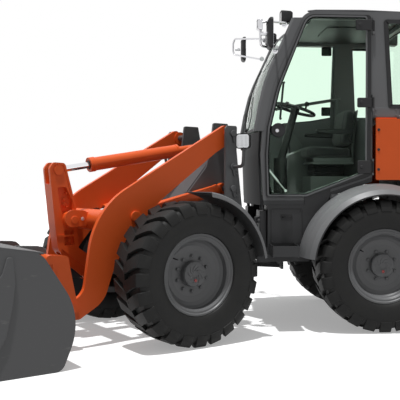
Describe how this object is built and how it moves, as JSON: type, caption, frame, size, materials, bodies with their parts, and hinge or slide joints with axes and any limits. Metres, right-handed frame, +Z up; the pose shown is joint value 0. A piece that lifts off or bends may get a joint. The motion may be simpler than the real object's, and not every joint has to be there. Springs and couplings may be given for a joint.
{
  "type": "wheel loader",
  "caption": "Compact articulated wheel loader with lifting boom, tilting bucket, glazed cab, oscillating centre joint and four driven wheels.",
  "frame": {"origin": "centre of the overall bounding box, on the ground the wheels and the bucket stand on", "axes": "+X forward along the rear half and the cab, +Y to the operator's left, +Z up; the front half stands turned 30.7 degrees to the left"},
  "size_m": [5.2683, 3.26, 2.64],
  "materials": {
    "orange_paint": "gloss paint",
    "frame_paint": "satin paint",
    "cab_paint": "satin paint",
    "bucket_paint": "satin paint",
    "rim_paint": "satin paint",
    "tyre": "moulded rubber",
    "glass": "tinted safety glass",
    "black_plastic": "moulded grain",
    "seat_vinyl": "woven cover",
    "pin_steel": "ground",
    "chrome": "hard chrome",
    "engine_iron": "painted casting"
  },
  "bodies": {
    "rear_frame": {"rear_frame": "frame_paint", "rear_axle": "frame_paint", "body_boxes": "frame_paint", "rear_fenders": "cab_paint", "engine": "engine_iron", "counterweight": "frame_paint", "engine_side_panels": "orange_paint", "cab_frame": "cab_paint", "cab_floor": "frame_paint", "cab_nose": "cab_paint", "cab_glass": "glass", "cab_roof": "cab_paint", "seat_base": "black_plastic", "seat_cushion": "seat_vinyl", "seat_back": "seat_vinyl", "steering_column": "black_plastic", "roof_lamps": "black_plastic", "mirrors": "black_plastic"},
    "centre_knuckle": {"centre_knuckle": "frame_paint"},
    "front_frame": {"front_frame": "frame_paint", "front_axle": "frame_paint", "tower": "frame_paint", "front_fenders": "cab_paint", "headlamps": "black_plastic"},
    "wheel_front_left": {"rim_front_left": "rim_paint", "tyre_front_left": "tyre"},
    "wheel_front_right": {"rim_front_right": "rim_paint", "tyre_front_right": "tyre"},
    "wheel_rear_left": {"rim_rear_left": "rim_paint", "tyre_rear_left": "tyre"},
    "wheel_rear_right": {"rim_rear_right": "rim_paint", "tyre_rear_right": "tyre"},
    "boom": {"boom": "orange_paint"},
    "rocker_pin": {"rocker_pin": "pin_steel"},
    "rocker": {"rocker": "orange_paint"},
    "link_pin": {"link_pin": "pin_steel"},
    "link": {"link": "frame_paint"},
    "tip_pins": {"tip_pins": "pin_steel"},
    "bucket": {"coupler": "orange_paint", "bucket": "bucket_paint"},
    "tilt_barrel": {"tilt_barrel": "orange_paint"},
    "tilt_rod": {"tilt_rod": "chrome"},
    "lift_barrels": {"lift_barrels": "orange_paint"},
    "lift_rods": {"lift_rods": "chrome"},
    "steer_barrel_left": {"steer_barrel_left": "frame_paint"},
    "steer_rod_left": {"steer_rod_left": "chrome"},
    "steer_barrel_right": {"steer_barrel_right": "frame_paint"},
    "steer_rod_right": {"steer_rod_right": "chrome"},
    "cab_door": {"door_frame": "black_plastic", "door_glass": "glass"},
    "engine_hood": {"engine_hood": "orange_paint"}
  },
  "joints": [
    {"name": "steering", "type": "hinge", "parent": "rear_frame", "child": "centre_knuckle", "pos_m": [-0.36185, -0.64998, 0.6], "axis": [0, 0, 1], "range_deg": [-70.7, 9.3]},
    {"name": "oscillation", "type": "hinge", "parent": "centre_knuckle", "child": "front_frame", "pos_m": [-0.18988, -0.54788, 0.6], "axis": [0.8599, 0.5105, 0], "range_deg": [-12, 12]},
    {"name": "wheel_front_left_spin", "type": "hinge", "parent": "front_frame", "child": "wheel_front_left", "pos_m": [0.16723, 0.46662, 0.525], "axis": [-0.5105, 0.8599, 0], "continuous": true},
    {"name": "wheel_front_right_spin", "type": "hinge", "parent": "front_frame", "child": "wheel_front_right", "pos_m": [0.87178, -0.71998, 0.525], "axis": [-0.5105, 0.8599, 0], "continuous": true},
    {"name": "wheel_rear_left_spin", "type": "hinge", "parent": "rear_frame", "child": "wheel_rear_left", "pos_m": [-1.38685, 0.04002, 0.525], "axis": [0, 1, 0], "continuous": true},
    {"name": "wheel_rear_right_spin", "type": "hinge", "parent": "rear_frame", "child": "wheel_rear_right", "pos_m": [-1.38685, -1.33998, 0.525], "axis": [0, 1, 0], "continuous": true},
    {"name": "boom_lift", "type": "hinge", "parent": "front_frame", "child": "boom", "pos_m": [0.02079, -0.42279, 1.577], "axis": [0.5105, -0.8599, 0], "range_deg": [0, 80]},
    {"name": "tip_level", "type": "hinge", "parent": "boom", "child": "tip_pins", "pos_m": [1.21856, 0.28839, 0.298], "axis": [-0.5105, 0.8599, 0], "range_deg": [0, 80]},
    {"name": "bucket_tilt", "type": "hinge", "parent": "tip_pins", "child": "bucket", "pos_m": [1.21856, 0.28839, 0.298], "axis": [-0.5105, 0.8599, 0], "range_deg": [-38, 45]},
    {"name": "rocker_lift_turn", "type": "hinge", "parent": "boom", "child": "rocker_pin", "pos_m": [1.07239, 0.2016, 0.907], "axis": [0.5105, -0.8599, 0], "range_deg": [-0.02, 19.3]},
    {"name": "rocker_tilt_turn", "type": "hinge", "parent": "rocker_pin", "child": "rocker", "pos_m": [1.07239, 0.2016, 0.907], "axis": [0.5105, -0.8599, 0], "range_deg": [-9.63, 11.4]},
    {"name": "link_lift_turn", "type": "hinge", "parent": "bucket", "child": "link_pin", "pos_m": [1.21856, 0.28839, 0.502], "axis": [0.5105, -0.8599, 0], "range_deg": [-0.02, 54.98]},
    {"name": "link_tilt_turn", "type": "hinge", "parent": "link_pin", "child": "link", "pos_m": [1.21856, 0.28839, 0.502], "axis": [0.5105, -0.8599, 0], "range_deg": [-35.66, 42.23]},
    {"name": "tilt_cylinder_swing", "type": "hinge", "parent": "front_frame", "child": "tilt_barrel", "pos_m": [0.01305, -0.42739, 1.489], "axis": [0.5105, -0.8599, 0], "range_deg": [-0.02, 76.02]},
    {"name": "tilt_rod_slide", "type": "slide", "parent": "tilt_barrel", "child": "tilt_rod", "axis": [0.849, 0.5041, -0.1583], "range_m": [-0.08414, 0.07113]},
    {"name": "lift_cylinder_swing", "type": "hinge", "parent": "front_frame", "child": "lift_barrels", "pos_m": [0.02079, -0.42279, 1.136], "axis": [0.5105, -0.8599, 0], "range_deg": [-0.02, 69.57]},
    {"name": "lift_rod_slide", "type": "slide", "parent": "lift_barrels", "child": "lift_rods", "axis": [0.837, 0.497, -0.2288], "range_m": [-0.0005, 0.52996]},
    {"name": "steer_cylinder_swing_left", "type": "hinge", "parent": "rear_frame", "child": "steer_barrel_left", "pos_m": [-0.98185, -0.44998, 0.62], "axis": [0, 0, 1], "range_deg": [-5.77, 0.78]},
    {"name": "steer_rod_slide_left", "type": "slide", "parent": "steer_barrel_left", "child": "steer_rod_left", "axis": [0.9965, 0.0835, 0], "range_m": [-0.03954, 0.29726]},
    {"name": "steer_cylinder_swing_right", "type": "hinge", "parent": "rear_frame", "child": "steer_barrel_right", "pos_m": [-0.98185, -0.84998, 0.62], "axis": [0, 0, 1], "range_deg": [-8.73, 1.17]},
    {"name": "steer_rod_slide_right", "type": "slide", "parent": "steer_barrel_right", "child": "steer_rod_right", "axis": [0.9998, 0.0196, 0], "range_m": [-0.28715, 0.03821]},
    {"name": "cab_door_swing", "type": "hinge", "parent": "rear_frame", "child": "cab_door", "pos_m": [-1.34685, -0.01498, 1.8], "axis": [0, 0, 1], "range_deg": [0, 90]},
    {"name": "engine_hood_lift", "type": "hinge", "parent": "rear_frame", "child": "engine_hood", "pos_m": [-1.71385, -0.64998, 1.669], "axis": [0, 1, 0], "range_deg": [0, 50]}
  ],
  "couplings": [
    {"joint": "tip_level", "follows": "boom_lift", "ratio": 1},
    {"joint": "rocker_lift_turn", "follows": "boom_lift", "ratio": 0.241},
    {"joint": "rocker_tilt_turn", "follows": "bucket_tilt", "ratio": 0.253},
    {"joint": "link_lift_turn", "follows": "boom_lift", "ratio": 0.687},
    {"joint": "link_tilt_turn", "follows": "bucket_tilt", "ratio": 0.938},
    {"joint": "tilt_cylinder_swing", "follows": "boom_lift", "ratio": 0.95},
    {"joint": "tilt_rod_slide", "follows": "bucket_tilt", "m_per_rad": -0.1065},
    {"joint": "lift_cylinder_swing", "follows": "boom_lift", "ratio": 0.8694},
    {"joint": "lift_rod_slide", "follows": "boom_lift", "m_per_rad": 0.3792},
    {"joint": "steer_cylinder_swing_left", "follows": "steering", "ratio": 0.0813},
    {"joint": "steer_rod_slide_left", "follows": "steering", "m_per_rad": -0.2405},
    {"joint": "steer_cylinder_swing_right", "follows": "steering", "ratio": 0.1232},
    {"joint": "steer_rod_slide_right", "follows": "steering", "m_per_rad": 0.2323}
  ]
}
